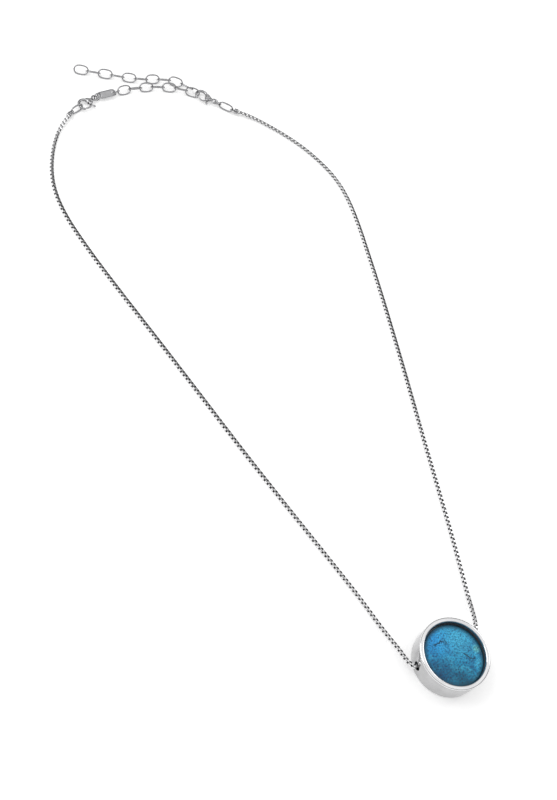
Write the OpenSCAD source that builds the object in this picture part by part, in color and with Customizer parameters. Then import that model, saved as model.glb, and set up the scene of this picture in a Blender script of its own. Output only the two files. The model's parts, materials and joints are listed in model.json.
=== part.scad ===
// Drum pendant on a box chain, closed by two lobster clasps and a link extender.
// The pendant lies on its back at the origin, the clasps lie away along +Y, +Z is up.

/* [Pendant] */
// Diameter of the front rim
rim_d = 24; // [22:0.5:26]
// Depth of the drum from back face to rim
drum_h = 8.4; // [8:0.2:9]
// Width of the polished rim face
rim_face = 1.5; // [1.2:0.1:1.5]
// Thickness of the rim ring
rim_h = 0.8; // [0.6:0.1:1]
// Wall of the side band
band_wall = 0.9; // [0.7:0.1:1]
// How far the side band swells at its middle
band_dome = 0.25; // [0.1:0.05:0.4]
// Diameter of the stone
stone_d = 20.4; // [18:0.2:20.4]
// Thickness of the stone at its edge
stone_h = 1; // [0.9:0.1:1.2]
// How far the stone's edge lies under the rim
stone_drop = 1.6; // [1.4:0.1:1.6]

/* [Chain passage] */
// Height of the chain passage above the back face
tube_z = 3.4; // [3.2:0.1:3.6]
// Distance of the chain passage above the middle of the drum
tube_y = 3.1; // [2:0.1:4]
// Bore of the guide tube
tube_bore = 2.7; // [2.4:0.1:2.8]
// Wall of the guide tube
tube_wall = 0.25; // [0.2:0.05:0.3]

/* [Chain] */
// Diameter of the box chain's round envelope
chain_d = 1.4; // [1.2:0.1:1.4]
// Height of the middle of the clasp pieces above the table
lie_z = 1.35; // [1.35:0.05:1.5]

/* [Extender links] */
// Outer length of an oval link
link_l = 5.5; // [5.3:0.1:5.7]
// Outer width of an oval link
link_w = 3.6; // [3.4:0.1:3.6]
// Wire of an oval link
link_wire = 0.5; // [0.4:0.05:0.5]
// Tilt of every second link from the table
link_tilt = 45; // [40:1:45]

/* [Rings] */
// Outer diameter of a jump ring
jump_d = 3; // [2.9:0.1:3]
// Wire of a jump ring
jump_wire = 0.45; // [0.4:0.05:0.45]
// Outer length of the end ring on each chain end
end_l = 5.65; // [5.5:0.05:5.8]
// Outer width of the end ring on each chain end
end_w = 2.9; // [2.8:0.1:2.9]
// Wire of the end rings
end_wire = 0.55; // [0.5:0.05:0.55]
// Tilt of the rings from the table
ring_tilt = 60; // [55:1:60]

/* [Tag] */
// Length of the oval tag
tag_l = 7.6; // [7.4:0.1:8]
// Width of the oval tag
tag_w = 3; // [2.6:0.1:3.2]
// Thickness of the oval tag
tag_h = 0.6; // [0.5:0.05:0.6]

/* [Clasps] */
// Middle radius of the hook
hook_r = 2; // [1.9:0.05:2.1]
// Thickness of the hook's bar
hook_bar = 1.1; // [1:0.05:1.1]
// Distance from the middle of the hook to the tail eye
clasp_reach = 5.2; // [5.1:0.05:5.4]
// Thickness of the clasp's neck
neck_h = 1.5; // [1.4:0.05:1.5]

/* [Hidden] */
$fn = 48;

silver = [0.86, 0.86, 0.87];
oxide = [0.16, 0.17, 0.19];
turquoise = [0.16, 0.52, 0.68];
steel = [0.6, 0.6, 0.62];

// ---- drum sizes ----
rim_r = rim_d / 2;
recess_r = rim_r - rim_face;
band_r = rim_r - 0.3;
band_top = drum_h - rim_h;
band_in = band_r - band_wall;
stone_top = drum_h - stone_drop;
stone_low = stone_top - stone_h;
stone_dome = 0.2;
stone_off = [-0.06, -0.26];
backing_h = 0.2;
cup_floor = 0.5;
cup_low = stone_low - backing_h - cup_floor;
plate_h = 0.8;
edge_r = 0.6;
tube_r = tube_bore / 2 + tube_wall;
tube_reach = sqrt(pow(band_r, 2) - pow(tube_y + tube_r, 2));

// ---- places along the closure, in order from the left end of the chain ----
function ahead(p, deg, d) = [p.x + d * cos(deg), p.y + d * sin(deg)];
touch = 0.05;
end_mid = end_l - end_wire;
jump_r = (jump_d - jump_wire) / 2;
hook_in = hook_r - hook_bar / 2;
held_x = hook_in - end_wire / 2 - touch;
left_end = [-4.4, 229];
left_ring_deg = 12;
clasp_1_deg = 15;
left_ring_at = ahead(left_end, left_ring_deg, end_mid / 2);
clasp_1_at = ahead(ahead(left_end, left_ring_deg, end_mid), clasp_1_deg, held_x);
eye_1 = ahead(clasp_1_at, clasp_1_deg, clasp_reach);
jump_1_deg = 5;
jump_1_at = ahead(eye_1, jump_1_deg, jump_r);
tag_deg = -3;
tag_hole_x = tag_l / 2 - 1.15;
tag_hole_r = 0.65;
tag_at = ahead(ahead(jump_1_at, jump_1_deg, jump_r), tag_deg, tag_hole_x);
tag_ring_deg = -4;
tag_ring_at = ahead(ahead(tag_at, tag_deg, tag_hole_x), tag_ring_deg, jump_r);
link_mid = link_l - link_wire;
link_step = (link_l - 2 * link_wire) / 2 - touch;
inside_jump = jump_r - jump_wire / 2 - touch;

// Headings of the links from the tag to the one that the second clasp holds
front_deg = [-6, -10, -14, -19, -25, -33, -40];
// Headings of the free links that run back from there
tail_deg = [118, 138, 158, 161, 158, 152, 150, 150, 150, 148];
function along(p, degs, i) = i == 0 ? p
    : ahead(ahead(along(p, degs, i - 1), degs[i - 1], link_step), degs[i], link_step);
front_at = ahead(tag_ring_at, front_deg[0], inside_jump - link_wire / 2 + link_mid / 2);
function front(i) = along(front_at, front_deg, i);

// The held link, and the point on its raised side where the free links start
held_deg = front_deg[6];
held_at = front(6);
side_in = link_w / 2 - 1.5 * link_wire - touch;
side_at = ahead(ahead(held_at, held_deg, -0.2), held_deg + 90, side_in * cos(link_tilt));
side_z = lie_z + side_in * sin(link_tilt);
tail_slope = asin((side_z - lie_z) / link_mid);
tail_at = ahead(side_at, tail_deg[0], link_mid / 2 * cos(tail_slope));
tail_next = ahead(ahead(side_at, tail_deg[0], link_mid * cos(tail_slope) - link_wire - touch),
                  tail_deg[1], link_mid / 2);
function tail(i) = along(tail_next, [for (k = [1:9]) tail_deg[k]], i - 1);

clasp_2_deg = -50;
hook_held = hook_in - link_wire / 2 - 4 * touch;
clasp_2_at = ahead(ahead(held_at, held_deg, link_mid / 2), clasp_2_deg, hook_held);
eye_2 = ahead(clasp_2_at, clasp_2_deg, clasp_reach);
jump_2_deg = -52;
jump_2_at = ahead(eye_2, jump_2_deg, jump_r);
right_ring_deg = -52;
inside_jump_end = inside_jump - end_wire / 2;
right_ring_at = ahead(ahead(jump_2_at, jump_2_deg, inside_jump_end), right_ring_deg, end_mid / 2);
right_end = ahead(right_ring_at, right_ring_deg, end_mid / 2);

// ---- chain route: left cap, down to the drum, through it, and up to the right cap ----
left_cap_deg = 30;
right_cap_deg = 139;
cap_seat = 1.2;
chain_r = chain_d / 2;
low = chain_r + 0.02;
route = [
    [-5.44, 228.4, 1.35], [-7.5, 227.2, 1.35], [-10.6, 225.2, 1.1], [-14.2, 222.2, 0.75],
    [-18.2, 217.8, low], [-22, 212.4, low], [-25.2, 206.2, low], [-27.4, 199, low],
    [-28.4, 190, low], [-28.2, 179, low], [-27.4, 167, low], [-26, 152, low],
    [-24.2, 134, low], [-22.2, 112, low], [-20, 88, low], [-17.4, 64, low],
    [-15.2, 45, low], [-13.7, 31, low], [-13.1, 19.4, 1], [-12.9, 10.8, 2.3],
    [-13.1, 6.5, 3.1], [-12.45, 3.95, 3.4], [-10.8, 3.1, 3.4], [0, 3.1, 3.4],
    [12.4, 3.1, 3.4], [15.4, 5, 3.2], [17.9, 9, 2.2], [20.8, 14.6, 0.95], [24.4, 23, low],
    [31, 39.6, low], [40.4, 64.6, low], [50.4, 90.6, low], [60.6, 118, low],
    [67.4, 137.6, low], [72.2, 152.4, low], [74.8, 164.6, low], [74.4, 175.2, low],
    [70.8, 187, low], [65.4, 197, low], [60.3, 203.9, 1], [56.91, 207.23, 1.35],
    [54.53, 209.31, 1.35]];

// A smooth line through the route's points, with one ring more between each two
function mid(a, b, c, d) = (9 * (b + c) - a - d) / 16;
last = len(route) - 1;
line = [for (i = [0:last - 1]) each [
    route[i],
    mid(route[max(i - 1, 0)], route[i], route[i + 1], route[min(i + 2, last)])], route[last]];
function unit(v) = v / norm(v);
function heading(i) = unit(line[min(i + 1, len(line) - 1)] - line[max(i - 1, 0)]);
sides = 8;
ring_turn = 180 / sides;
function ring(i) = let (
    f = heading(i),
    s = unit(cross(f, [0, 0, 1])),
    u = cross(s, f))
    [for (k = [0:sides - 1]) line[i] + chain_r
        * (s * cos(ring_turn + k * 360 / sides) + u * sin(ring_turn + k * 360 / sides))];

// ---- shared shapes ----
// A closed loop of round wire with straight sides, lying in XY
module wire_loop(l, w, wire) {
    r = (w - wire) / 2;
    half = (l - w) / 2;
    for (s = [0, 180]) rotate(s) {
        translate([half, 0, 0]) rotate(-90) rotate_extrude(angle = 180) translate([r, 0]) circle(d = wire);
        translate([-half, r, 0]) rotate([0, 90, 0]) cylinder(d = wire, h = 2 * half);
    }
}

// A round ring of wire, lying in XY
module wire_ring(d, wire) rotate_extrude() translate([(d - wire) / 2, 0]) circle(d = wire);

// Puts a piece at a place along the closure, turned to its heading and tilted about it
module lay(at, deg, tilt = 0, slope = 0, z = lie_z)
    translate([at.x, at.y, z]) rotate([0, slope, deg]) rotate([tilt, 0, 0]) children();

// ---- pendant ----
module side_band() color(silver) difference() {
    rotate_extrude($fn = 96) band_profile();
    translate([-rim_d, tube_y, tube_z]) rotate([0, 90, 0]) cylinder(r = tube_r, h = 2 * rim_d);
}

// Half section of the band: straight inside, swelling outside, rounded at the back
module band_profile() {
    swell_r = (pow(band_top / 2, 2) + pow(band_dome, 2)) / (2 * band_dome);
    intersection() {
        translate([band_in, 0]) square([band_wall + band_dome, band_top]);
        translate([band_r + band_dome - 0.05 - swell_r, band_top / 2]) circle(r = swell_r, $fn = 360);
        union() {
            translate([0, edge_r]) square([rim_r, band_top]);
            square([band_r - edge_r, edge_r]);
            translate([band_r - edge_r, edge_r]) circle(r = edge_r);
        }
    }
}

module front_rim() color(silver) rotate_extrude($fn = 96) {
    round_r = rim_h / 2;
    translate([recess_r + round_r, band_top]) square([rim_face - 2 * round_r, rim_h]);
    translate([recess_r, band_top]) square([rim_face, round_r]);
    for (x = [recess_r + round_r, rim_r - round_r])
        translate([x, band_top + round_r]) circle(r = round_r);
}

module recess_cup() color(oxide) difference() {
    translate([0, 0, cup_low]) cylinder(r = band_in, h = band_top - cup_low, $fn = 96);
    translate([0, 0, cup_low + cup_floor]) cylinder(r = recess_r, h = drum_h, $fn = 96);
}

module stone_backing() color(steel)
    translate([stone_off.x, stone_off.y, cup_low + cup_floor])
        cylinder(r = stone_d / 2 - 0.4, h = backing_h, $fn = 96);

module stone() color(turquoise) translate([stone_off.x, stone_off.y, stone_low])
    rotate_extrude($fn = 96) polygon([
        [0, 0], [stone_d / 2, 0], [stone_d / 2, stone_h - 0.15], [stone_d / 2 - 0.15, stone_h],
        [stone_d * 0.4, stone_h + stone_dome * 0.4], [stone_d * 0.2, stone_h + stone_dome],
        [0, stone_h + stone_dome]]);

module back_plate() color(silver) cylinder(r = band_in, h = plate_h, $fn = 96);

module guide_tube() color(steel)
    translate([-tube_reach, tube_y, tube_z]) rotate([0, 90, 0]) difference() {
        cylinder(r = tube_r, h = 2 * tube_reach);
        translate([0, 0, -1]) cylinder(d = tube_bore, h = 2 * tube_reach + 2);
    }

// ---- chain and its caps ----
module chain() color(silver) {
    n = len(line);
    polyhedron(
        points = [for (i = [0:n - 1]) each ring(i)],
        faces = concat(
            [[for (k = [0:sides - 1]) k]],
            [for (i = [0:n - 2], k = [0:sides - 1])
                [i * sides + k, (i + 1) * sides + k, (i + 1) * sides + (k + 1) % sides]],
            [for (i = [0:n - 2], k = [0:sides - 1])
                [i * sides + k, (i + 1) * sides + (k + 1) % sides, i * sides + (k + 1) % sides]],
            [[for (k = [0:sides - 1]) n * sides - 1 - k]]));
}

// A turned cap with a wire eye; the chain sits in its blind bore, away along +X
module chain_cap() color(silver) {
    eye_r = 0.62;
    eye_wire = 0.4;
    cap_r = chain_r + 0.2;
    cap_l = 1.3;
    difference() {
        union() {
            translate([cap_seat - 0.4, 0, 0]) rotate([0, 90, 0]) cylinder(r = cap_r, h = cap_l);
            translate([eye_r - 0.1, 0, 0]) rotate([0, 90, 0]) cylinder(r = 0.3, h = 0.6);
            wire_ring(2 * eye_r + eye_wire, eye_wire);
        }
        translate([cap_seat, 0, 0]) rotate([0, 90, 0]) cylinder(r = chain_r + 0.03, h = 3);
    }
}
module left_chain_cap() lay(left_end, left_cap_deg + 180, 90 - ring_tilt) chain_cap();
module right_chain_cap() lay(right_end, right_cap_deg + 180, ring_tilt - 90) chain_cap();

module left_end_ring() color(silver)
    lay(left_ring_at, left_ring_deg, ring_tilt) wire_loop(end_l, end_w, end_wire);
module right_end_ring() color(silver)
    lay(right_ring_at, right_ring_deg, ring_tilt) wire_loop(end_l, end_w, end_wire);

// ---- lobster clasp: the hook's middle is at the origin, its tail eye is along +X ----
pivot = [2.3, -1];
pin_r = 0.25;
slot_h = 0.84;
lever_arc_at = [0.75, -0.35];
lever_arc_r = 1.68;
lever_h = 0.46;
module clasp_body() color(silver) difference() {
    union() {
        rotate_extrude(angle = 234) translate([hook_r, 0]) circle(d = hook_bar);
        translate([0, 0, -neck_h / 2]) linear_extrude(neck_h)
            polygon([[1.2, 1.75], [2.2, 1.45], [3.6, 0.75], [4.6, 0.5], [4.6, -0.5],
                     [3.7, -0.9], [2.9, -1.65], [1.9, -1.7], [1.45, -1.1], [1.3, 0]]);
        translate([clasp_reach, 0, -0.35]) cylinder(r = 1.2, h = 0.7);
    }
    translate([0, 0, -2]) cylinder(r = hook_in - 0.02, h = 4);
    translate([clasp_reach, 0, -2]) cylinder(r = 0.7, h = 4);
    translate([1.2, -3.4, -slot_h / 2]) cube([2.2, 3.1, slot_h]);
    translate([pivot.x, pivot.y, -2]) cylinder(r = pin_r, h = 4);
}
module clasp_lever() color(silver) translate([0, 0, -0.38]) linear_extrude(lever_h) difference() {
    union() {
        intersection() {
            translate(lever_arc_at) difference() {
                circle(r = lever_arc_r + lever_h / 2);
                circle(r = lever_arc_r - lever_h / 2);
            }
            polygon([lever_arc_at, [-3.1, -3.2], [3.4, -3.2], [3.2, -1.68]]);
        }
        translate(pivot) circle(r = 0.55);
        polygon([[2.12, -1.3], [2.48, -2.5], [2.9, -2.4], [2.6, -1.2]]);
        translate([2.7, -2.5]) circle(r = 0.5);
    }
    translate(pivot) circle(r = pin_r + 0.05);
}
module clasp_spring() color(steel) translate([pivot.x, pivot.y, 0.26]) {
    wire_ring(1.04, 0.2);
    translate([0.42, 0, 0]) rotate([0, 90, 20]) cylinder(d = 0.2, h = 0.6);
}
module clasp_pin() color(steel)
    translate([pivot.x, pivot.y, -neck_h / 2]) cylinder(r = pin_r, h = neck_h);

module clasp_1_body() lay(clasp_1_at, clasp_1_deg) clasp_body();
module clasp_1_lever() lay(clasp_1_at, clasp_1_deg) clasp_lever();
module clasp_1_spring() lay(clasp_1_at, clasp_1_deg) clasp_spring();
module clasp_1_pin() lay(clasp_1_at, clasp_1_deg) clasp_pin();
module clasp_2_body() lay(clasp_2_at, clasp_2_deg) clasp_body();
module clasp_2_lever() lay(clasp_2_at, clasp_2_deg) clasp_lever();
module clasp_2_spring() lay(clasp_2_at, clasp_2_deg) clasp_spring();
module clasp_2_pin() lay(clasp_2_at, clasp_2_deg) clasp_pin();

// ---- rings and tag ----
module left_jump_ring() color(silver) lay(jump_1_at, jump_1_deg, ring_tilt) wire_ring(jump_d, jump_wire);
module right_jump_ring() color(silver) lay(jump_2_at, jump_2_deg, -ring_tilt) wire_ring(jump_d, jump_wire);
module tag_ring() color(silver) lay(tag_ring_at, tag_ring_deg, -ring_tilt) wire_ring(jump_d, jump_wire);
module tag() color(silver) lay(tag_at, tag_deg) difference() {
    union() {
        translate([-(tag_l - tag_w) / 2, -tag_w / 2, -tag_h / 2]) cube([tag_l - tag_w, tag_w, tag_h]);
        for (s = [-1, 1])
            translate([s * (tag_l - tag_w) / 2, 0, -tag_h / 2]) cylinder(d = tag_w, h = tag_h);
    }
    for (s = [-1, 1]) translate([s * tag_hole_x, 0, -1]) cylinder(r = tag_hole_r, h = 2);
}

// ---- extender links ----
module oval_link() color(silver) wire_loop(link_l, link_w, link_wire);
module front_link(i) lay(front(i), front_deg[i], i % 2 == 0 ? link_tilt : -link_tilt) oval_link();
module tail_link(i) lay(tail(i), tail_deg[i], i % 2 == 0 ? link_tilt : -link_tilt) oval_link();
module link_a() front_link(0);
module link_b() front_link(1);
module link_c() front_link(2);
module link_d() front_link(3);
module link_e() front_link(4);
module link_f() front_link(5);
module link_g() front_link(6);
module link_h() lay(tail_at, tail_deg[0], link_tilt, tail_slope, (side_z + lie_z) / 2) oval_link();
module link_i() tail_link(1);
module link_j() tail_link(2);
module link_k() tail_link(3);
module link_l_piece() tail_link(4);
module link_m() tail_link(5);
module link_n() tail_link(6);
module link_o() tail_link(7);
module link_p() tail_link(8);
module link_q() tail_link(9);

side_band();
front_rim();
recess_cup();
stone();
stone_backing();
back_plate();
guide_tube();
chain();
left_chain_cap();
right_chain_cap();
left_end_ring();
right_end_ring();
clasp_1_body();
clasp_1_lever();
clasp_1_spring();
clasp_1_pin();
clasp_2_body();
clasp_2_lever();
clasp_2_spring();
clasp_2_pin();
left_jump_ring();
right_jump_ring();
tag();
tag_ring();
link_a();
link_b();
link_c();
link_d();
link_e();
link_f();
link_g();
link_h();
link_i();
link_j();
link_k();
link_l_piece();
link_m();
link_n();
link_o();
link_p();
link_q();
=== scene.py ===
import json
import math

import bmesh
import bpy
from mathutils import Matrix, Vector


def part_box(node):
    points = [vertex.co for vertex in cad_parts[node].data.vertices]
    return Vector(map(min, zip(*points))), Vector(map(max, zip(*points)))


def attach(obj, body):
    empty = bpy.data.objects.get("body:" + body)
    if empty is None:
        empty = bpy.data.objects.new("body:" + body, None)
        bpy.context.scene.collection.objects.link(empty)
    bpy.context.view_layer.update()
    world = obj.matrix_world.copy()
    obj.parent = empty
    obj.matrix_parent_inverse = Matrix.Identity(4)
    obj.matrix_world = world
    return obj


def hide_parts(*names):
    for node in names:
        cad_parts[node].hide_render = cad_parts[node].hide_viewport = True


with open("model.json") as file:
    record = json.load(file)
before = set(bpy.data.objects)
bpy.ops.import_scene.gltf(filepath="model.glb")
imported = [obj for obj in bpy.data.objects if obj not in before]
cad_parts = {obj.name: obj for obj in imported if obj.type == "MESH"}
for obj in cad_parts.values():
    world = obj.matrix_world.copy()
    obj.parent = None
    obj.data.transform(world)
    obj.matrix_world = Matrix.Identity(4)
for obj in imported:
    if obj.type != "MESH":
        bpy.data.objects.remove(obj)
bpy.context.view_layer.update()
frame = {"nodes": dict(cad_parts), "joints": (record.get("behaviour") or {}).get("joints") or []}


# ---- Table, light and camera ----
# The necklace lies on a plain white table under a large soft light, with a smaller one beside it.
# The backdrop is pale, but what the silver mirrors has a dark band near the horizon, which draws
# the edges of every polished piece.
def plain(name, colour, rough):
    """A material of one colour and one gloss."""
    mat = bpy.data.materials.new(name)
    mat.use_nodes = True
    shader = mat.node_tree.nodes["Principled BSDF"]
    shader.inputs["Base Color"].default_value = (*colour, 1)
    shader.inputs["Roughness"].default_value = rough
    return mat


def mesh_object(name, mesh):
    """A new object in the scene, at the origin."""
    piece = bpy.data.objects.new(name, mesh)
    bpy.context.scene.collection.objects.link(piece)
    return piece


def new_node(tree, kind, values=None, **settings):
    """A node in the tree with these settings, and with plain values on the inputs that are named."""
    node = tree.nodes.new(kind)
    for word, value in settings.items():
        setattr(node, word, value)
    for word, value in (values or {}).items():
        node.inputs[word].default_value = value
    return node


def wires(tree, *pairs):
    """Joins node sockets, each pair an output and an input."""
    for out, into in pairs:
        tree.links.new(out, into)


def ramp(tree, factor, *stops):
    """A colour ramp on this factor; each stop is a position and a colour or a grey."""
    node = new_node(tree, "ShaderNodeValToRGB")
    wires(tree, (factor, node.inputs["Fac"]))
    points = node.color_ramp.elements
    while len(points) < len(stops):
        points.new(0.5)
    for point, (position, colour) in zip(points, stops):
        point.position = position
        point.color = (*colour, 1) if isinstance(colour, tuple) else (colour, colour, colour, 1)
    return node.outputs["Color"]


def blended(tree, factor, base, colour, way="MIX"):
    """The base colour with another laid over it where the factor says, or everywhere without one."""
    node = new_node(tree, "ShaderNodeMix", data_type="RGBA", blend_type=way)
    node.inputs["Factor"].default_value = 1
    if factor:
        wires(tree, (factor, node.inputs["Factor"]))
    wires(tree, (base, node.inputs["A"]))
    if isinstance(colour, tuple):
        node.inputs["B"].default_value = (*colour, 1)
    else:
        wires(tree, (colour, node.inputs["B"]))
    return node.outputs["Result"]


table_half = 1.5
table_mesh = bpy.data.meshes.new("table")
table_mesh.from_pydata(
    [(-table_half, -table_half, 0), (table_half, -table_half, 0),
     (table_half, table_half, 0), (-table_half, table_half, 0)], [], [(0, 1, 2, 3)])
table_white = plain("table_white", (0.92, 0.92, 0.92), 0.6)
table_glow = table_white.node_tree.nodes["Principled BSDF"].inputs
table_glow["Emission Color"].default_value = (1, 1, 1, 1)
table_glow["Emission Strength"].default_value = 0.32
table_mesh.materials.append(table_white)
mesh_object("table", table_mesh)

world = bpy.data.worlds.new("studio")
bpy.context.scene.world = world
world.use_nodes = True
room = world.node_tree
room_place = new_node(room, "ShaderNodeTexCoord")
room_split = new_node(room, "ShaderNodeSeparateXYZ")
wires(room, (room_place.outputs["Generated"], room_split.inputs[0]))
upwards = ramp(room, room_split.outputs["Z"], (0.0, 0.05), (0.24, 0.08), (0.52, 0.42), (0.8, 1.05))
sideways = ramp(room, room_split.outputs["X"], (0.0, 0.95), (0.5, 1.0), (0.75, 0.8), (1.0, 0.62))
mirrored = blended(room, None, upwards, sideways, "MULTIPLY")
seen_straight = new_node(room, "ShaderNodeLightPath").outputs["Is Camera Ray"]
backdrop = room.nodes["Background"].inputs
backdrop["Strength"].default_value = 0.95
wires(room, (blended(room, seen_straight, mirrored, (0.98, 0.98, 0.98)), backdrop["Color"]))

middle = Vector((0.02, 0.11, 0))
for name, place, side, power in (
        ("main_light", (-0.35, 0.35, 0.55), 0.5, 1.6),
        ("side_light", (0.5, -0.1, 0.35), 0.25, 0.4)):
    lamp = bpy.data.lights.new(name, "AREA")
    lamp.size = side
    lamp.energy = power
    light = bpy.data.objects.new(name, lamp)
    bpy.context.scene.collection.objects.link(light)
    light.location = middle + Vector(place)
    light.rotation_euler = (-Vector(place)).to_track_quat("-Z", "Y").to_euler()

bpy.context.scene.view_settings.view_transform = "Standard"

camera_data = bpy.data.cameras.new("camera")
camera_data.sensor_fit = "HORIZONTAL"
camera_data.sensor_width = 36
camera_data.lens = 105.33
camera_data.clip_start = 0.01
camera = bpy.data.objects.new("camera", camera_data)
bpy.context.scene.collection.objects.link(camera)
camera_back = Vector((-0.5139, -0.2619, 0.8169)).normalized()
camera_up = Vector((0.3501, 0.8053, 0.4784))
camera_right = camera_up.cross(camera_back).normalized()
camera_up = camera_back.cross(camera_right)
camera.matrix_world = Matrix.Translation((-0.2760, -0.0400, 0.4422)) @ Matrix(
    (camera_right, camera_up, camera_back)).transposed().to_4x4()
bpy.context.scene.camera = camera


# ---- Box chain ----
# Square links of folded silver strip, each turned a quarter turn from the last and closed by
# solder. The polished outer faces are bright; the insides are painted near black and the worn edges darker,
# as painted shade, so the gaps read dark.
low = 0.00072   # the middle of the chain where it lies on the table
route = [
    (-0.00544, 0.2284, 0.00135), (-0.0075, 0.2272, 0.00135), (-0.0106, 0.2252, 0.0011),
    (-0.0142, 0.2222, 0.00075), (-0.0182, 0.2178, low), (-0.022, 0.2124, low),
    (-0.0252, 0.2062, low), (-0.0274, 0.199, low), (-0.0284, 0.19, low), (-0.0282, 0.179, low),
    (-0.0274, 0.167, low), (-0.026, 0.152, low), (-0.0242, 0.134, low), (-0.0222, 0.112, low),
    (-0.02, 0.088, low), (-0.0174, 0.064, low), (-0.0152, 0.045, low), (-0.0137, 0.031, low),
    (-0.0131, 0.0194, 0.001), (-0.0129, 0.0108, 0.0023), (-0.0131, 0.0065, 0.0031),
    (-0.01245, 0.00395, 0.0034), (-0.0108, 0.0031, 0.0034), (0, 0.0031, 0.0034),
    (0.0124, 0.0031, 0.0034), (0.0154, 0.005, 0.0032), (0.0179, 0.009, 0.0022),
    (0.0208, 0.0146, 0.00095), (0.0244, 0.023, low), (0.031, 0.0396, low), (0.0404, 0.0646, low),
    (0.0504, 0.0906, low), (0.0606, 0.118, low), (0.0674, 0.1376, low), (0.0722, 0.1524, low),
    (0.0748, 0.1646, low), (0.0744, 0.1752, low), (0.0708, 0.187, low), (0.0654, 0.197, low),
    (0.0603, 0.2039, 0.001), (0.05691, 0.20723, 0.00135), (0.05453, 0.20931, 0.00135)]
line = [Vector(p) for p in route]
for halving in range(3):
    finer = []
    for i, here in enumerate(line[:-1]):
        before, after = line[max(i - 1, 0)], line[i + 1]
        beyond = line[min(i + 2, len(line) - 1)]
        finer += [here, (9 * (here + after) - before - beyond) / 16]
    line = finer + [line[-1]]
chain_length = sum((b - a).length for a, b in zip(line, line[1:]))


def new_tree(name, **sizes):
    """A Geometry Nodes tree with a Geometry socket each way and a named input of each kind given."""
    tree = bpy.data.node_groups.new(name, "GeometryNodeTree")
    tree.interface.new_socket("Geometry", in_out="INPUT", socket_type="NodeSocketGeometry")
    tree.interface.new_socket("Geometry", in_out="OUTPUT", socket_type="NodeSocketGeometry")
    for size, kind in sizes.items():
        tree.interface.new_socket(size.replace("_", " "), in_out="INPUT", socket_type="NodeSocket" + kind)
    new_node(tree, "NodeGroupInput")
    new_node(tree, "NodeGroupOutput")
    return tree


def end_tree(tree, shape):
    """Ends a tree: its instances become real and take the metal that is given."""
    real = new_node(tree, "GeometryNodeRealizeInstances")
    coat = new_node(tree, "GeometryNodeSetMaterial")
    wires(tree, (shape, real.inputs[0]), (real.outputs[0], coat.inputs["Geometry"]),
          (tree.nodes["Group Input"].outputs["Metal"], coat.inputs["Material"]),
          (coat.outputs["Geometry"], tree.nodes["Group Output"].inputs["Geometry"]))


def maths(tree, operation, *operands):
    """A Math node in the tree; each operand is a number or an output."""
    node = new_node(tree, "ShaderNodeMath", operation=operation)
    for socket, value in zip(node.inputs, operands):
        if isinstance(value, (int, float)):
            socket.default_value = value
        else:
            wires(tree, (value, socket))
    return node.outputs[0]


def settled(base):
    """The plain mesh of an object as its modifiers leave it; the object is removed."""
    mesh = bpy.data.meshes.new_from_object(base.evaluated_get(bpy.context.evaluated_depsgraph_get()))
    base.modifiers.clear()
    bpy.data.objects.remove(base)
    return mesh


def grown(base, tree, **values):
    """The plain mesh that the tree makes of the base object with these inputs; the base is removed."""
    maker = base.modifiers.new(tree.name, "NODES")
    maker.node_group = tree
    for item in tree.interface.items_tree:
        word = item.name.replace(" ", "_")
        if item.item_type == "SOCKET" and item.in_out == "INPUT" and word in values:
            maker[item.identifier] = values[word]
    return settled(base)


def poly_curve(name, points):
    """An open curve of straight steps through the points."""
    curve = bpy.data.curves.new(name, "CURVE")
    curve.dimensions = "3D"
    spline = curve.splines.new("POLY")
    spline.points.add(len(points) - 1)
    for spot, place in zip(spline.points, points):
        spot.co = (*place, 1)
    return curve


def mesh_of(name, build):
    """The mesh of a bmesh, which is freed."""
    mesh = bpy.data.meshes.new(name)
    build.to_mesh(mesh)
    build.free()
    return mesh


link_pitch = 0.000785
link_strip = 0.00078
link_wide = 0.0012
link_thick = 0.00014
link_corner = 0.00028
link_flat = 0.72     # the part of the strip's width that lies flat between its worn edges
edge_worn = 0.96     # how far the worn edges draw in
edge_painted_shade = 0.4     # how dark the painted shade on the worn edges is, where the inside is 1


def box_link():
    """One square link lying along X: a strip loop with cut corners, its inside and edges marked for painted
    shade.
    """
    mesh = bmesh.new()
    mark = mesh.verts.layers.float.new("painted_gap_shade")
    half_long, half_wide, corner = link_pitch / 2 + link_thick, link_wide / 2, link_corner
    loop = []
    for turn in range(4):
        sx, sz = (1, 1, -1, -1)[turn], (1, -1, -1, 1)[turn]
        ends = [(sx * half_long, sz * (half_wide - corner)), (sx * (half_long - corner), sz * half_wide)]
        loop += ends if sx != sz else ends[::-1]
    rings = []
    for x, z in loop:
        outer = Vector((x, 0, z))
        inset_x, inset_z = (max(-1, min(1, 1.6 * part)) for part in (x / half_long, z / half_wide))
        inner = outer - Vector((inset_x, 0, inset_z)) * link_thick
        edge = outer * edge_worn
        ring = []
        for place, y, black in (
                (outer, -link_flat / 2, 0), (outer, link_flat / 2, 0), (edge, 0.5, edge_painted_shade),
                (inner, 0.5, 1), (inner, -0.5, 1), (edge, -0.5, edge_painted_shade)):
            corner_vert = mesh.verts.new(place + Vector((0, y * link_strip, 0)))
            corner_vert[mark] = black
            ring.append(corner_vert)
        rings.append(ring)
    for i, ring in enumerate(rings):
        following = rings[(i + 1) % len(rings)]
        for k in range(6):
            mesh.faces.new((ring[k], ring[(k + 1) % 6], following[(k + 1) % 6], following[k]))
    bmesh.ops.recalc_face_normals(mesh, faces=mesh.faces)
    return mesh_object("box_link", mesh_of("box_link", mesh))


def speckled(mat, scale, detail):
    """A noise texture on Object coordinates in this material; gives its tree, shader and factor."""
    tree = mat.node_tree
    place = new_node(tree, "ShaderNodeTexCoord")
    noise = new_node(tree, "ShaderNodeTexNoise", {"Scale": scale, "Detail": detail})
    wires(tree, (place.outputs["Object"], noise.inputs["Vector"]))
    return tree, tree.nodes["Principled BSDF"], noise.outputs["Fac"]


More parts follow.
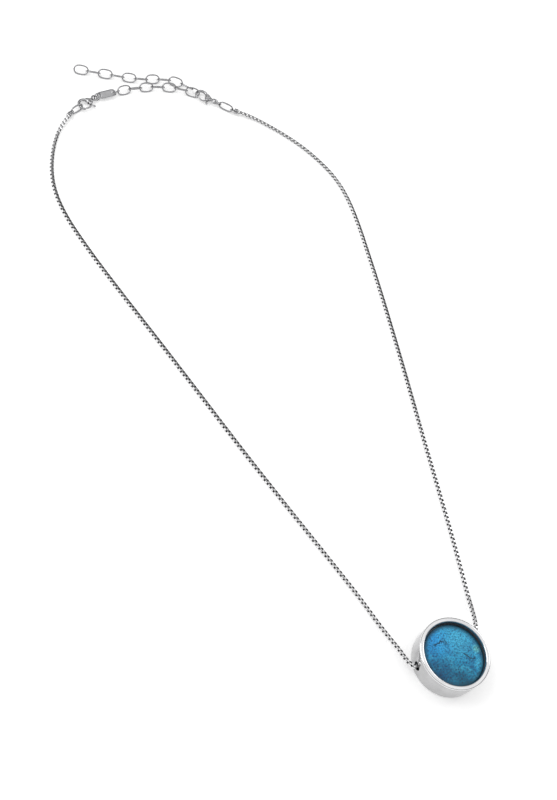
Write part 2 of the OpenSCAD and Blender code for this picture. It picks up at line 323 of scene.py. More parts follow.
def bumped(tree, shader, height, strength, distance):
    """Gives the shader a bump from this height."""
    node = new_node(tree, "ShaderNodeBump", {"Strength": strength, "Distance": distance})
    wires(tree, (height, node.inputs["Height"]), (node.outputs["Normal"], shader.inputs["Normal"]))


def polished(name, tint, rough, grain, dent):
    """Polished silver: faint handling marks vary its gloss and tone, and a shallow ripple its surface."""
    mat = plain(name, tint, rough)
    tree, shader, marks = speckled(mat, grain, 4)
    shader.inputs["Metallic"].default_value = 1
    dull = tuple(0.9 * c for c in tint)
    wires(tree,
          (ramp(tree, marks, (0.35, dull), (0.6, tint)), shader.inputs["Base Color"]),
          (ramp(tree, marks, (0.35, rough * 1.7), (0.62, rough * 0.8)), shader.inputs["Roughness"]))
    bumped(tree, shader, marks, dent, 0.00002)
    return mat


chain_silver = polished("chain_silver", (0.88, 0.88, 0.89), 0.16, 900, 0.1)
chain_tree = chain_silver.node_tree
chain_shader = chain_tree.nodes["Principled BSDF"].inputs
# Painted shade: the marked insides go near black and less metallic, and the worn edges partly so, standing
# in for the shade in the gaps between links.
gap_shade_mark = new_node(chain_tree, "ShaderNodeAttribute", attribute_name="painted_gap_shade").outputs["Fac"]
gap_shade_amount = ramp(chain_tree, gap_shade_mark, (0.35, 0.0), (0.55, 1.0))
chain_tint = blended(chain_tree, gap_shade_amount, chain_shader["Base Color"].links[0].from_socket,
                     (0.012, 0.012, 0.013))
wires(chain_tree,
      (chain_tint, chain_shader["Base Color"]),
      (ramp(chain_tree, gap_shade_mark, (0.35, 1.0), (0.55, 0.2)), chain_shader["Metallic"]))

box_tree = new_tree("box_chain", Link="Object", Links="Int", End_margin="Float", Start_turn="Float",
                    Twist="Float", Metal="Material")
given = box_tree.nodes["Group Input"].outputs
trim = new_node(box_tree, "GeometryNodeTrimCurve")
spots = new_node(box_tree, "GeometryNodeCurveToPoints")
along = new_node(box_tree, "FunctionNodeAlignRotationToVector", axis="X")
upright = new_node(box_tree, "FunctionNodeAlignRotationToVector", {"Vector": (0, 0, 1)},
                   axis="Z", pivot_axis="X")
number = new_node(box_tree, "GeometryNodeInputIndex")
turn_each = maths(box_tree, "ADD", given["Twist"], math.pi / 2)
turn_here = maths(box_tree, "MULTIPLY_ADD", number.outputs[0], turn_each, given["Start turn"])
roll = new_node(box_tree, "FunctionNodeAxisAngleToRotation", {"Axis": (1, 0, 0)})
rolled = new_node(box_tree, "FunctionNodeRotateRotation", rotation_space="LOCAL")
link_info = new_node(box_tree, "GeometryNodeObjectInfo")
placed = new_node(box_tree, "GeometryNodeInstanceOnPoints")
wires(box_tree,
      (given["Geometry"], trim.inputs["Curve"]), (given["End margin"], trim.inputs["Start"]),
      (maths(box_tree, "SUBTRACT", 1, given["End margin"]), trim.inputs["End"]),
      (trim.outputs["Curve"], spots.inputs["Curve"]), (given["Links"], spots.inputs["Count"]),
      (spots.outputs["Tangent"], along.inputs["Vector"]),
      (along.outputs["Rotation"], upright.inputs["Rotation"]),
      (turn_here, roll.inputs["Angle"]),
      (upright.outputs["Rotation"], rolled.inputs["Rotation"]),
      (roll.outputs["Rotation"], rolled.inputs["Rotate By"]),
      (given["Link"], link_info.inputs["Object"]),
      (spots.outputs["Points"], placed.inputs["Points"]),
      (link_info.outputs["Geometry"], placed.inputs["Instance"]),
      (rolled.outputs["Rotation"], placed.inputs["Rotation"]))
end_tree(box_tree, placed.outputs["Instances"])

pattern_link = box_link()
end_margin = link_pitch * 0.8 / chain_length
chain = mesh_object("box_chain", grown(
    mesh_object("chain_line", poly_curve("chain_line", line)), box_tree,
    Link=pattern_link, Links=round(chain_length / link_pitch) - 1, End_margin=end_margin,
    Start_turn=math.radians(62), Twist=math.radians(0.1), Metal=chain_silver))
bpy.data.objects.remove(pattern_link)
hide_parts("chain")
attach(chain, "chain")


# ---- Pendant: side band ----
# A silver band spun into a drum wall that swells a little at its middle and rounds over at the back.
# Two holes let the chain through, each edge rolled smooth so that it doesn't wear the links.
def arc(cx, cz, r, start, end, steps=8):
    """Points of an arc in the half section, in degrees from +X towards +Z."""
    angles = [math.radians(start + (end - start) * i / steps) for i in range(steps + 1)]
    return [(cx + r * math.cos(a), cz + r * math.sin(a)) for a in angles]


def smoothed(mesh, degrees):
    """The mesh shaded smooth, apart from edges sharper than this."""
    mesh.shade_smooth()
    mesh.set_sharp_from_angle(angle=math.radians(degrees))
    return mesh


def turned_mesh(name, outline, around=160, closed=True):
    """A mesh turned about Z from an outline of (radius, height) points; a point on the axis is one pole."""
    mesh = bmesh.new()
    rings = []
    for r, z in outline:
        if r < 1e-7:
            rings.append([mesh.verts.new((0, 0, z))])
            continue
        steps = [2 * math.pi * i / around for i in range(around)]
        rings.append([mesh.verts.new((r * math.cos(a), r * math.sin(a), z)) for a in steps])
    pairs = list(zip(rings, rings[1:])) + ([(rings[-1], rings[0])] if closed else [])
    for one, other in pairs:
        if len(one) == len(other) == 1:
            continue
        for i in range(around):
            j = (i + 1) % around
            corners = [one[i % len(one)], one[j % len(one)], other[j % len(other)], other[i % len(other)]]
            mesh.faces.new(list(dict.fromkeys(corners)))
    bmesh.ops.recalc_face_normals(mesh, faces=mesh.faces)
    return smoothed(mesh_of(name, mesh), 40)


def drill(r, reach, around, at=(0, 0, 0)):
    """A round rod along Z, reaching as far each way, for boring a hole through another mesh."""
    rod = turned_mesh("drill", [(0, -reach), (r, -reach), (r, reach), (0, reach)], around, False)
    rod.transform(Matrix.Translation(at))
    return rod


def add_piece(name, mesh, mat, slot, body, *nodes):
    """Links a finished mesh as a piece that rides on a body and stands for CAD nodes."""
    mesh.materials.clear()
    mesh.materials.append(mat)
    piece = mesh_object(name, mesh)
    if nodes:
        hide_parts(*nodes)
    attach(piece, body)


def cut_mesh(mesh, *cutters):
    """The mesh with each cutter mesh taken out of it."""
    base = mesh_object("blank", mesh)
    tools = [mesh_object("cutter", cutter) for cutter in cutters]
    for tool in tools:
        knife = base.modifiers.new("cut", "BOOLEAN")
        knife.operation = "DIFFERENCE"
        knife.solver = "EXACT"
        knife.object = tool
    result = settled(base)
    for tool in tools:
        bpy.data.objects.remove(tool)
    return smoothed(result, 35)


rim_low, rim_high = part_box("front_rim")
rim_r = rim_high.x
rim_face = 0.0015
recess_r = rim_r - rim_face
band_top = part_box("side_band")[1].z
band_out = 0.0117
band_in = 0.0108
swell = 0.0002
groove = 0.00025
groove_deep = 0.00035
band_inset = 0.00005
edge_round = 0.0006
fit_gap = 0.00002    # left between pieces that meet, so that no two faces lie in one plane
swell_steps = 14
swell_points = [(band_out + swell * math.sin(math.pi * t / swell_steps) - band_inset,
                 edge_round + (band_top - groove - edge_round) * t / swell_steps)
                for t in range(1, swell_steps)]
band_outline = (
    arc(band_out - edge_round, edge_round, edge_round, -90, 0) + swell_points
    + [(band_out - 2 * band_inset, band_top - groove), (band_out - groove_deep, band_top - groove * 0.8),
       (band_out - groove_deep, band_top - fit_gap), (band_in, band_top - fit_gap), (band_in, fit_gap)])
tube_low, tube_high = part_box("guide_tube")
tube_y = (tube_low.y + tube_high.y) / 2
tube_z = (tube_low.z + tube_high.z) / 2
tube_r = (tube_high.z - tube_low.z) / 2

# The band's silver is toned darker than the rim's: painted shade for the dimmer look of its side wall.
band_silver = polished("band_silver", (0.55, 0.55, 0.555), 0.13, 260, 0.05)
band_tree = band_silver.node_tree
band_shader = band_tree.nodes["Principled BSDF"].inputs
# Painted shade: the band darkens to near black from its groove up, standing in for the shade in the gap
# under the rim.
band_place = new_node(band_tree, "ShaderNodeTexCoord")
band_split = new_node(band_tree, "ShaderNodeSeparateXYZ")
groove_painted_shade = new_node(band_tree, "ShaderNodeMapRange",
                     {"From Min": band_top - groove, "From Max": band_top - groove * 0.7})
wires(band_tree,
      (band_place.outputs["Object"], band_split.inputs[0]),
      (band_split.outputs["Z"], groove_painted_shade.inputs["Value"]))
band_tint = blended(band_tree, groove_painted_shade.outputs["Result"],
                    band_shader["Base Color"].links[0].from_socket, (0.05, 0.05, 0.055))
wires(band_tree, (band_tint, band_shader["Base Color"]))

hole_cutter = drill(tube_r, 0.02, 64)
across = Matrix.Translation((0, tube_y, tube_z)) @ Matrix.Rotation(math.pi / 2, 4, "Y")
hole_cutter.transform(across)
add_piece("side_band_wall", cut_mesh(turned_mesh("side_band_wall", band_outline), hole_cutter),
          band_silver, "polished_silver", "pendant", "side_band")


# ---- Pendant: guide tube and hole lips ----
# A thin tube soldered across the drum keeps the chain clear of the setting; its inside stays dark.
# A rolled lip of silver wire finishes each end where the tube meets the curved band.
def rod_mesh(name, points, radii, closed=False):
    """A round rod along the points, as thick as the radii say, with flat ends unless it is a ring."""
    curve = poly_curve(name, points)
    curve.bevel_depth = 1
    curve.bevel_resolution = 2
    curve.use_fill_caps = not closed
    curve.splines[0].use_cyclic_u = closed
    for spot, radius in zip(curve.splines[0].points, radii):
        spot.radius = radius
    return smoothed(settled(mesh_object(name, curve)), 50)


def joined(name, *meshes):
    """One mesh made of several."""
    whole = bmesh.new()
    for part in meshes:
        whole.from_mesh(part)
    return mesh_of(name, whole)


oxidised = plain("oxidised_silver", (0.04, 0.045, 0.05), 0.38)
oxide_tree, oxide_shader, oxide_noise = speckled(oxidised, 1400, 5)
oxide_shader.inputs["Metallic"].default_value = 0.3
wires(oxide_tree, (ramp(oxide_tree, oxide_noise, (0.3, (0.08, 0.1, 0.12)), (0.7, (0.19, 0.225, 0.26))),
                   oxide_shader.inputs["Base Color"]),
      (ramp(oxide_tree, oxide_noise, (0.3, 0.5), (0.7, 0.3)), oxide_shader.inputs["Roughness"]))
bumped(oxide_tree, oxide_shader, oxide_noise, 0.25, 0.00003)

bore_r = 0.00135
tube_wall = 0.00018
tube_reach = tube_high.x - 0.0004
tube_mesh = turned_mesh("tube", [
    (bore_r, -tube_reach), (bore_r + tube_wall, -tube_reach), (bore_r + tube_wall, tube_reach),
    (bore_r, tube_reach)], 64)
tube_mesh.transform(across)
add_piece("chain_guide_tube", tube_mesh, oxidised, "hidden_metal", "pendant", "guide_tube")

lip_wire = 0.00013
lip_sunk = 0.00012
lip_r = tube_r - 0.00005
lip_steps = 64
for side, name in ((-1, "left_hole_lip"), (1, "right_hole_lip")):
    lip = []
    for i in range(lip_steps):
        a = 2 * math.pi * i / lip_steps
        y, z = tube_y + lip_r * math.cos(a), tube_z + lip_r * math.sin(a)
        lift = swell * math.sin(math.pi * (z - edge_round) / (band_top - edge_round))
        lip.append((side * (math.sqrt((band_out + lift) ** 2 - y * y) - lip_sunk), y, z))
    add_piece(name, rod_mesh(name, lip, [lip_wire] * lip_steps, closed=True),
              band_silver, "polished_silver", "pendant")


# ---- Pendant: front rim ----
# The bezel ring that holds the stone's setting: a heavy half-round silver ring, polished bright.
# It sits on the band with a fine dark line between, which is painted shade on the band's groove, and is
# soldered to it from inside.
rim_silver = polished("rim_silver", (0.84, 0.84, 0.85), 0.1, 220, 0.04)
rim_foot = rim_low.z + 0.00001
rim_waist = rim_low.z + 0.00022
rim_steps = 24
wide_power, crown_power = 0.72, 0.62    # below 1, they make the half round fuller at its shoulders
rim_outline = []
for i in range(rim_steps + 1):
    a = math.pi * i / rim_steps
    across_face = math.copysign(abs(math.cos(a)) ** wide_power, math.cos(a))
    rim_outline.append((recess_r + rim_face / 2 * (1 + across_face),
                        rim_waist + (rim_high.z - rim_waist) * math.sin(a) ** crown_power))
rim_outline += [(recess_r, rim_foot), (rim_r - 0.0002, rim_foot)]
add_piece("bezel_rim", turned_mesh("bezel_rim", rim_outline, 192), rim_silver,
          "polished_silver", "pendant", "front_rim")


# ---- Pendant: recess cup and back plate ----
# A shallow cup under the rim carries the stone, blackened so that the stone stands out from it.
# The back is one flat polished disc let into the band, with a faint circular finish.
cup_low, cup_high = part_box("recess_cup")
stone_low, stone_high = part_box("stone")
cup_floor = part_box("stone_backing")[0].z
cup_fillet = 0.0002
cup_r = band_in - fit_gap
cup_outline = [
    (0, cup_low.z), (cup_r, cup_low.z), (cup_r, cup_high.z - fit_gap / 2),
    (recess_r, cup_high.z - fit_gap / 2), (recess_r, cup_floor + cup_fillet),
    (recess_r - cup_fillet, cup_floor), (0, cup_floor)]
add_piece("recess_cup_wall", turned_mesh("recess_cup_wall", cup_outline, 160, False), oxidised,
          "oxidised_silver", "pendant", "recess_cup")

plate_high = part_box("back_plate")[1]
plate_r = plate_high.x - 0.00003
plate_bevel = 0.00015
plate_flat_r = plate_high.x - plate_bevel
plate_silver = polished("plate_silver", (0.74, 0.74, 0.75), 0.17, 300, 0.04)
plate_tree = plate_silver.node_tree
plate_rings = new_node(plate_tree, "ShaderNodeTexWave", {"Scale": 1600, "Distortion": 1.5},
                       wave_type="RINGS", rings_direction="Z")
plate_place = new_node(plate_tree, "ShaderNodeTexCoord")
wires(plate_tree, (plate_place.outputs["Object"], plate_rings.inputs["Vector"]))
bumped(plate_tree, plate_tree.nodes["Principled BSDF"], plate_rings.outputs["Fac"], 0.12, 0.00001)
plate_outline = [(0, fit_gap / 2), (plate_flat_r, fit_gap / 2), (plate_r, plate_bevel),
                 (plate_r, plate_high.z), (0, plate_high.z)]
add_piece("back_disc", turned_mesh("back_disc", plate_outline, 160, False), plate_silver,
          "polished_silver", "pendant", "back_plate")


# ---- Pendant: stone and its backing ----
# A polished turquoise-blue stone disc, slightly domed, bedded on a thin pad and held by the rim.
# Its grain is fine and mottled, brighter towards one side, with a few dark matrix cracks.
stone_middle = (stone_low + stone_high) / 2
stone_r = (stone_high.x - stone_low.x) / 2
stone_deep = stone_high.z - stone_low.z
dome = 0.0002
stone_edge = 0.00018
dome_steps = 12
dome_points = [(stone_r - stone_edge) * (1 - i / dome_steps) for i in range(dome_steps + 1)]
stone_outline = (
    [(0, 0), (stone_r, 0)]
    + arc(stone_r - stone_edge, stone_deep - dome - stone_edge, stone_edge, 0, 80, 4)
    + [(r, stone_deep - dome * (r / stone_r) ** 2) for r in dome_points])
stone_mesh = turned_mesh("stone_disc", stone_outline, 160, False)
stone_mesh.transform(Matrix.Translation((stone_middle.x, stone_middle.y, stone_low.z)))

stone_mat = plain("turquoise_stone", (0.02, 0.25, 0.5), 0.22)
stone_tree, stone_shader, grain = speckled(stone_mat, 1900, 8)
stone_shader.inputs["Specular IOR Level"].default_value = 0.3
stone_shader.inputs["Coat Weight"].default_value = 0.1
stone_shader.inputs["Coat Roughness"].default_value = 0.08
stone_place = stone_tree.nodes["Texture Coordinate"].outputs["Object"]


def near(spot, reach):
    """A factor that is 1 at the spot and falls to 0 at the reach."""
    scaled = new_node(stone_tree, "ShaderNodeMapping",
                      {"Location": [-v / reach for v in spot], "Scale": [1 / reach] * 3})
    glow = new_node(stone_tree, "ShaderNodeTexGradient", gradient_type="SPHERICAL")
    wires(stone_tree,
          (stone_place, scaled.inputs["Vector"]), (scaled.outputs[0], glow.inputs["Vector"]))
    return glow.outputs["Fac"]


clouds = new_node(stone_tree, "ShaderNodeTexNoise", {"Scale": 260, "Detail": 4, "Distortion": 0.6})
wires(stone_tree, (stone_place, clouds.inputs["Vector"]))
colour = ramp(stone_tree, clouds.outputs["Fac"],
              (0.36, (0.012, 0.20, 0.40)), (0.52, (0.022, 0.36, 0.62)), (0.66, (0.06, 0.50, 0.76)))
top_z = stone_high.z
for spot, reach, strength, tint in (
        ((-0.0030, 0.0070, top_z), 0.0085, 0.8, (0.03, 0.42, 0.92)),
        ((0.0050, 0.0035, top_z), 0.0085, 0.7, (0.09, 0.60, 0.90)),
        ((-0.0085, -0.0040, top_z), 0.0095, 0.95, (0.002, 0.085, 0.20)),
        ((-0.0025, -0.0090, top_z), 0.0075, 0.85, (0.003, 0.12, 0.20)),
        ((0.0083, -0.0019, top_z), 0.0018, 0.7, (0.26, 0.76, 0.62))):
    patch = ramp(stone_tree, near(spot, reach), (0.05, 0.0), (0.9, strength))
    colour = blended(stone_tree, patch, colour, tint)
mottle = ramp(stone_tree, grain,
              (0.36, (0.22, 0.30, 0.36)), (0.47, (0.55, 0.66, 0.72)), (0.56, (1.0, 1.0, 1.0)))
colour = blended(stone_tree, None, colour, mottle, "MULTIPLY")

wander = new_node(stone_tree, "ShaderNodeTexNoise", {"Scale": 800, "Detail": 6, "Roughness": 0.65})
wires(stone_tree, (stone_place, wander.inputs["Vector"]))
sway = maths(stone_tree, "MULTIPLY", maths(stone_tree, "SUBTRACT", wander.outputs["Fac"], 0.5), 0.0042)
for x, y, half_long, turn, wide, depth in (
        (-0.0027, 0.0056, 0.0027, -0.1, 0.00034, 0.95), (-0.0002, 0.0049, 0.0011, 0.98, 0.0003, 0.95),
        (0.0045, -0.0029, 0.0024, -0.87, 0.00034, 0.9), (0.0020, -0.0001, 0.0016, -0.6, 0.00022, 0.5),
        (-0.0078, -0.0005, 0.0015, 0.5, 0.00025, 0.5), (0.0012, -0.0072, 0.0017, -0.3, 0.00022, 0.45)):
    shift = new_node(stone_tree, "ShaderNodeMapping", {"Location": (-x, -y, 0)})
    turned = new_node(stone_tree, "ShaderNodeMapping", {"Rotation": (0, 0, -turn)})
    local = new_node(stone_tree, "ShaderNodeSeparateXYZ")
    wires(stone_tree, (stone_place, shift.inputs["Vector"]), (shift.outputs[0], turned.inputs["Vector"]),
          (turned.outputs[0], local.inputs[0]))
    off_line = maths(stone_tree, "ABSOLUTE", maths(stone_tree, "ADD", local.outputs["Y"], sway))
    on_line = maths(stone_tree, "SUBTRACT", 1, maths(stone_tree, "DIVIDE", off_line, wide))
    along_line = maths(stone_tree, "DIVIDE", maths(stone_tree, "ABSOLUTE", local.outputs["X"]), half_long)
    fade = maths(stone_tree, "SUBTRACT", 1.15, along_line)
    crack = maths(stone_tree, "MULTIPLY", maths(stone_tree, "MAXIMUM", on_line, 0),
                  maths(stone_tree, "MAXIMUM", fade, 0))
    colour = blended(stone_tree, ramp(stone_tree, crack, (0.02, 0.0), (0.35, depth)), colour,
                     (0.002, 0.018, 0.032))
# Painted shade: the stone darkens to deep teal towards its rim, standing in for the shade of the recess
# wall and rim over its edge.
edge_shift = new_node(stone_tree, "ShaderNodeMapping",
                      {"Location": (-stone_middle.x, -stone_middle.y, 0)})
edge_flat = new_node(stone_tree, "ShaderNodeVectorMath", {1: (1, 1, 0)}, operation="MULTIPLY")
edge_far = new_node(stone_tree, "ShaderNodeVectorMath", operation="LENGTH")
wires(stone_tree, (stone_place, edge_shift.inputs["Vector"]), (edge_shift.outputs[0], edge_flat.inputs[0]),
      (edge_flat.outputs[0], edge_far.inputs[0]))
edge_part = maths(stone_tree, "DIVIDE", edge_far.outputs["Value"], stone_r)
colour = blended(stone_tree, ramp(stone_tree, edge_part, (0.84, 0.0), (0.98, 0.92)), colour,
                 (0.003, 0.05, 0.085))
wires(stone_tree, (colour, stone_shader.inputs["Base Color"]),
      (ramp(stone_tree, grain, (0.35, 0.34), (0.65, 0.16)), stone_shader.inputs["Roughness"]))
bumped(stone_tree, stone_shader, grain, 0.25, 0.00003)
add_piece("stone_disc", stone_mesh, stone_mat, "turquoise_stone", "pendant", "stone")

inner_metal = polished("inner_metal", (0.62, 0.62, 0.64), 0.35, 900, 0.1)


def keep_cad_part(node):
    """Gives the inner metal to a hidden CAD node that stays as it is."""
    mesh = frame["nodes"][node].data
    mesh.materials.clear()
    mesh.materials.append(inner_metal)


keep_cad_part("stone_backing")


# ---- Extender links, end rings, jump rings and cap eyes ----
# Drawn silver wire bent to ovals and rings. The ovals and end rings are closed with a bead of
# solder on one side, and the jump rings only butt together, which leaves a fine notch.
wire_tree = new_tree("wire_loop", Length="Float", Width="Float", Wire="Float", Seam="Float",
                     Metal="Material")
given = wire_tree.nodes["Group Input"].outputs
circle = new_node(wire_tree, "GeometryNodeCurvePrimitiveCircle", {"Resolution": 72, "Radius": 1})
here = new_node(wire_tree, "GeometryNodeInputPosition")
split = new_node(wire_tree, "ShaderNodeSeparateXYZ")
wires(wire_tree, (here.outputs[0], split.inputs[0]))
round_x, round_y = split.outputs["X"], split.outputs["Y"]
side_pull = 2.2      # how sharply the straight sides turn into the round ends
bead_long = 0.16     # the solder bead's length along the wire, as a part of the bend's radius
bend_r = maths(wire_tree, "DIVIDE", maths(wire_tree, "SUBTRACT", given["Width"], given["Wire"]), 2)
straight = maths(wire_tree, "DIVIDE", maths(wire_tree, "SUBTRACT", given["Length"], given["Width"]), 2)
stretch = maths(wire_tree, "TANH", maths(wire_tree, "MULTIPLY", round_x, side_pull))
stretch = maths(wire_tree, "DIVIDE", stretch, math.tanh(side_pull))
new_x = maths(wire_tree, "ADD", maths(wire_tree, "MULTIPLY", round_x, bend_r),
              maths(wire_tree, "MULTIPLY", straight, stretch))
new_y = maths(wire_tree, "MULTIPLY", round_y, bend_r)
on_seam = maths(wire_tree, "LESS_THAN", round_y, 0)
seam_off = maths(wire_tree, "DIVIDE", round_x, bead_long)
seam_drop = maths(wire_tree, "MULTIPLY", maths(wire_tree, "MULTIPLY", seam_off, seam_off), -1)
seam_bell = maths(wire_tree, "MULTIPLY", on_seam, maths(wire_tree, "EXPONENT", seam_drop))
swollen = maths(wire_tree, "MULTIPLY_ADD", seam_bell, given["Seam"], 1)
spot = new_node(wire_tree, "ShaderNodeCombineXYZ")
shaped = new_node(wire_tree, "GeometryNodeSetPosition")
held = new_node(wire_tree, "GeometryNodeStoreNamedAttribute", {"Name": "seam_radius"},
                data_type="FLOAT", domain="POINT")
read = new_node(wire_tree, "GeometryNodeInputNamedAttribute", {"Name": "seam_radius"}, data_type="FLOAT")
section = new_node(wire_tree, "GeometryNodeCurvePrimitiveCircle", {"Resolution": 14})
swept = new_node(wire_tree, "GeometryNodeCurveToMesh")
smooth = new_node(wire_tree, "GeometryNodeSetShadeSmooth")
wires(wire_tree,
      (new_x, spot.inputs["X"]), (new_y, spot.inputs["Y"]),
      (circle.outputs["Curve"], held.inputs["Geometry"]), (swollen, held.inputs["Value"]),
      (held.outputs["Geometry"], shaped.inputs["Geometry"]), (spot.outputs[0], shaped.inputs["Position"]),
      (shaped.outputs["Geometry"], swept.inputs["Curve"]),
      (maths(wire_tree, "DIVIDE", given["Wire"], 2), section.inputs["Radius"]),
      (section.outputs["Curve"], swept.inputs["Profile Curve"]),
      (read.outputs["Attribute"], swept.inputs["Scale"]),
      (swept.outputs["Mesh"], smooth.inputs["Geometry"]))
end_tree(wire_tree, smooth.outputs["Geometry"])


def wire_loop(name, length, width, wire, seam, metal):
    """A ring or an oval of round wire, lying flat at the origin with its long axis along X."""
    return grown(mesh_object(name, bpy.data.meshes.new(name)), wire_tree, Length=length, Width=width,
                 Wire=wire, Seam=seam, Metal=metal)


def laid(centre, heading, tilt, slope=0.0):
    """The place of a flat piece: centre, heading and slope of its long axis, and tilt about that axis."""
    return (Matrix.Translation(centre) @ Matrix.Rotation(heading, 4, "Z")
            @ Matrix.Rotation(slope, 4, "Y") @ Matrix.Rotation(tilt, 4, "X"))


def node_middle(node):
    """The middle of a CAD node's box."""
    lowest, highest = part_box(node)
    return (lowest + highest) / 2


joint_of = {joint["child"]: joint for joint in frame["joints"]}
wire_silver = polished("wire_silver", (0.42, 0.42, 0.43), 0.12, 700, 0.06)
oval_long, oval_wide, oval_wire = 0.0055, 0.0036, 0.0005
oval_tilt = math.radians(45)
solder_bead = 0.1
joined_links = 7          # a to g run to the second clasp, and the rest hang free
free_height = 0.00135     # the free links' middles
extender = [("link_" + c, "link_l_piece" if c == "l" else "link_" + c) for c in "abcdefghijklmnopq"]
for count, (body, node) in enumerate(extender):
    middle_at = node_middle(node)
    joint = joint_of[body]
    rolls = joint["axis"][2] == 0
    line_of = Vector(joint["axis"]) if rolls else middle_at - Vector(joint["pos_m"])
    slope = 0.0
    if node == "link_h":
        slope = math.asin(2 * (middle_at.z - free_height) / (oval_long - oval_wire))
    order = count if count < joined_links else count - joined_links
    oval = wire_loop(node, oval_long, oval_wide, oval_wire, solder_bead, wire_silver)
    oval.transform(laid(middle_at, math.atan2(line_of.y, line_of.x),
                        math.pi + oval_tilt if order % 2 == 0 else -oval_tilt, slope))
    add_piece("oval_" + node, oval, wire_silver, "silver_wire", body, node)

ring_tilt = math.radians(60)
seam_up = math.pi + ring_tilt
ring_sizes = {"end": (0.00565, 0.0029, 0.00055, 0.15), "jump": (0.003, 0.003, 0.00045, -0.3)}
for node, kind, tilt in (
        ("left_end_ring", "end", seam_up), ("right_end_ring", "end", seam_up),
        ("left_jump_ring", "jump", seam_up), ("right_jump_ring", "jump", -ring_tilt),
        ("tag_ring", "jump", -ring_tilt)):
    axis = Vector(joint_of[node]["axis"])
    ring = wire_loop(node, *ring_sizes[kind], wire_silver)
    ring.transform(laid(node_middle(node), math.atan2(axis.y, axis.x), tilt))
    add_piece("wire_" + node, ring, wire_silver, "silver_wire", node, node)


# ---- Chain caps ----
# A turned silver cap is crimped over each chain end. It has a rounded mouth, two fine turned lines
# and a wire eye that the end ring hangs in.
cap_seat = 0.0012
cap_r = 0.0009
cap_bore = 0.00073
cap_mouth = 0.0021
neck_r = 0.0003
cap_shoulder = 0.0002
mouth_round = 0.00008
line_deep, line_half = 0.00006, 0.00005
cap_lines = [(r, z + dz) for z in (0.0013, 0.0016) for r, dz in (
    (cap_r, -line_half), (cap_r - line_deep, 0), (cap_r, line_half))]
cap_outline = (
    [(cap_bore, cap_mouth), (cap_bore, cap_seat), (0, cap_seat), (0, 0.0003), (neck_r, 0.0003),
     (neck_r, 0.0007), (cap_r - 0.0003, 0.0008)]
    + arc(cap_r - cap_shoulder, 0.001, cap_shoulder, -60, 0, 4) + cap_lines
    + arc(cap_r - mouth_round, cap_mouth - mouth_round, mouth_round, 0, 90, 4))
for side, end, towards, tilt in (
        ("left", line[0], line[1], math.radians(30)), ("right", line[-1], line[-2], math.radians(-30))):
    out = towards - end
    heading = math.atan2(out.y, out.x)
    eye_at = end - Vector((math.cos(heading), math.sin(heading), 0)) * cap_seat
    eye = wire_loop("eye", 0.00164, 0.00164, 0.0004, 0.0, wire_silver)
    cup = turned_mesh("cap", cap_outline, 40)
    cup.transform(Matrix.Rotation(math.pi / 2, 4, "Y"))
    cap_mesh = joined(side + "_cap", eye, cup)
    cap_mesh.transform(laid(eye_at, heading, tilt))
    add_piece(side + "_cap", smoothed(cap_mesh, 35), wire_silver, "polished_silver", "chain",
              side + "_chain_cap")


# ---- Oval tag ----
# A small flat oval stamped from sheet silver, with a raised border and a hole at each end.
# It joins the first clasp's ring to the extender, and its face is left blank.
tag_low, tag_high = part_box("tag")
tag_long, tag_wide, tag_thick = 0.0076, 0.003, 0.0006
tag_hole = 0.00065
tag_hole_x = tag_long / 2 - 0.00115
border = 0.0003
panel_drop = 0.00012


def stadium(long, wide, z, steps=20):
    """Points round a straight-sided oval at height z."""
    r, half = wide / 2, (long - wide) / 2
    points = []
    for end in (1, -1):
        for i in range(steps + 1):
            a = math.radians(-90 + 180 * i / steps)
            points.append((end * (half + r * math.cos(a)), end * r * math.sin(a), z))
    return points


def stacked(name, loops):
    """A closed solid through loops of equal point counts, capped at the first and last."""
    mesh = bmesh.new()
    rings = [[mesh.verts.new(p) for p in loop] for loop in loops]
    for one, other in zip(rings, rings[1:]):
        for i in range(len(one)):
            j = (i + 1) % len(one)
            mesh.faces.new((one[i], one[j], other[j], other[i]))
    mesh.faces.new(rings[0][::-1])
    mesh.faces.new(rings[-1])
    bmesh.ops.recalc_face_normals(mesh, faces=mesh.faces)
    return mesh_of(name, mesh)


soft = 0.0001
half_thick = tag_thick / 2
tag_steps = (
    (border + 0.0001, half_thick - panel_drop), (border, half_thick), (soft, half_thick),
    (0, half_thick - soft))
tag_levels = [(inset, -z) for inset, z in tag_steps] + list(tag_steps[::-1])
tag_solid = stacked("tag", [
    stadium(tag_long - 2 * inset, tag_wide - 2 * inset, z) for inset, z in tag_levels])
tag_mesh = cut_mesh(tag_solid, *[
    drill(tag_hole, 0.001, 40, (end * tag_hole_x, 0, 0)) for end in (-1, 1)])
tag_axis = Vector(joint_of["tag"]["axis"])
tag_mesh.transform(laid((tag_low + tag_high) / 2, math.atan2(tag_axis.y, tag_axis.x), 0))
tag_silver = polished("tag_silver", (0.5, 0.5, 0.51), 0.18, 500, 0.08)
add_piece("oval_tag", tag_mesh, tag_silver, "polished_silver", "tag", "tag")


# ---- Lobster clasps ----
# Cast silver clasps: a thick hook and body with a tail eye, polished all over. A thumb lever in a
# slot turns on a pin against a coil spring and closes the hook. The pin and spring are steel.
hook_r = 0.002
pivot = Vector((0.0023, -0.001, 0))
clasp_silver = polished("clasp_silver", (0.46, 0.46, 0.47), 0.12, 500, 0.06)


def curved(cx, cy, r, start, end, steps):
    """Points of a flat arc at height 0."""
    return [(x, y, 0) for x, y in arc(cx, cy, r, start, end, steps)]


def fused(name, voxel, rounds, *meshes):
    """Separate rods and balls melted into one smooth casting."""
    base = mesh_object(name, joined(name, *meshes))
    melt = base.modifiers.new("melt", "REMESH")
    melt.mode = "VOXEL"
    melt.voxel_size = voxel
    melt.use_smooth_shade = True
    rub = base.modifiers.new("rub", "SMOOTH")
    rub.factor = 0.5
    rub.iterations = rounds
    return settled(base)


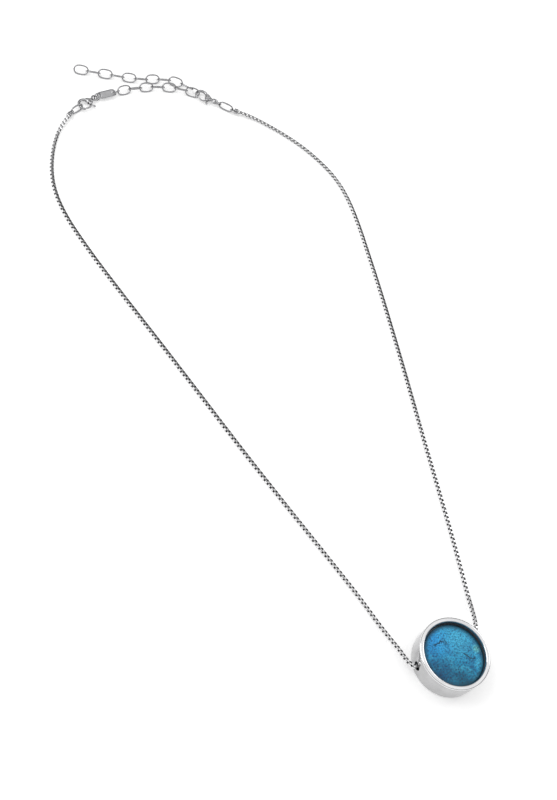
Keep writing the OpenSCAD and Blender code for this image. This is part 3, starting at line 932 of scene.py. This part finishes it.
def ball(centre, sizes):
    """A ball drawn out to three half sizes."""
    mesh = bmesh.new()
    bmesh.ops.create_uvsphere(mesh, u_segments=24, v_segments=14, radius=1)
    shape = mesh_of("ball", mesh)
    shape.transform(Matrix.Translation(centre) @ Matrix.Diagonal((*sizes, 1)))
    return shape


def block(low_corner, high_corner):
    """A box between two corners."""
    mesh = bmesh.new()
    bmesh.ops.create_cube(mesh, size=1)
    shape = mesh_of("block", mesh)
    a, b = Vector(low_corner), Vector(high_corner)
    shape.transform(Matrix.Translation((a + b) / 2) @ Matrix.Diagonal((*(b - a), 1)))
    return shape


hook_end = 232
hook_steps = 46
hook_path = curved(0, 0, hook_r, 2, hook_end, hook_steps)
hook_thick = [0.00056 - 0.00014 * (i / hook_steps) ** 2 for i in range(hook_steps + 1)]
hook_tip = hook_path[-1]
back_path = [(0.0017, 0.0011, 0), (0.0024, 0.0008, 0), (0.0033, 0.0003, 0), (0.0043, 0, 0)]
eye_x = 0.0052
eye_path = curved(eye_x, 0, 0.00095, 0, 350, 35)
clasp_solid = fused(
    "clasp", 0.00007, 4,
    rod_mesh("hook", hook_path, hook_thick),
    ball(hook_tip, [0.00042] * 3),
    rod_mesh("back", back_path, [0.0007, 0.00072, 0.0006, 0.00045]),
    ball((0.0022, 0.0002, 0), (0.0009, 0.0013, 0.00068)),
    ball((0.0024, -0.0009, 0), (0.00085, 0.0007, 0.00068)),
    ball((0.0033, -0.0003, 0), (0.0009, 0.00062, 0.0006)),
    rod_mesh("eye", eye_path, [0.00031] * len(eye_path), closed=True))
bore_reach = 0.002
clasp_body = cut_mesh(
    clasp_solid,
    drill(0.00143, bore_reach, 64),
    drill(0.0007, bore_reach, 40, (eye_x, 0, 0)),
    drill(0.00025, bore_reach, 24, pivot),
    block((0.0012, -0.0034, -0.00042), (0.0034, -0.0003, 0.00042)))

arm_steps = 24
arm_thick = [0.0002 + 0.00003 * i / arm_steps for i in range(arm_steps + 1)]
arms = [rod_mesh("arm", curved(0.00075, -0.00035, r, -137, -34, arm_steps), arm_thick)
        for r in (0.00148, 0.00168)]
lever_drop = 0.00015
lever_solid = fused(
    "lever", 0.00005, 3, *arms,
    drill(0.00052, 0.0002, 32, pivot),
    ball((0.0027, -0.0025, 0), (0.0005, 0.0005, 0.00028)),
    rod_mesh("stem", [(0.0023, -0.0012, 0), (0.00245, -0.0018, 0), (0.00265, -0.0024, 0)],
             [0.0002, 0.00018, 0.0002]))
lever_solid.transform(Matrix.Translation((0, 0, -lever_drop)))

for name in ("clasp_1", "clasp_2"):
    joint = joint_of[name]
    heading = math.atan2(joint["axis"][1], joint["axis"][0])
    for part, solid, body in (("body", clasp_body, name), ("lever", lever_solid, name + "_lever")):
        mesh = solid.copy()
        mesh.transform(laid(Vector(joint["pos_m"]), heading, 0))
        add_piece(f"{name}_{part}_cast", mesh, clasp_silver, "polished_silver", body, f"{name}_{part}")
    for part in ("spring", "pin"):
        keep_cad_part(f"{name}_{part}")
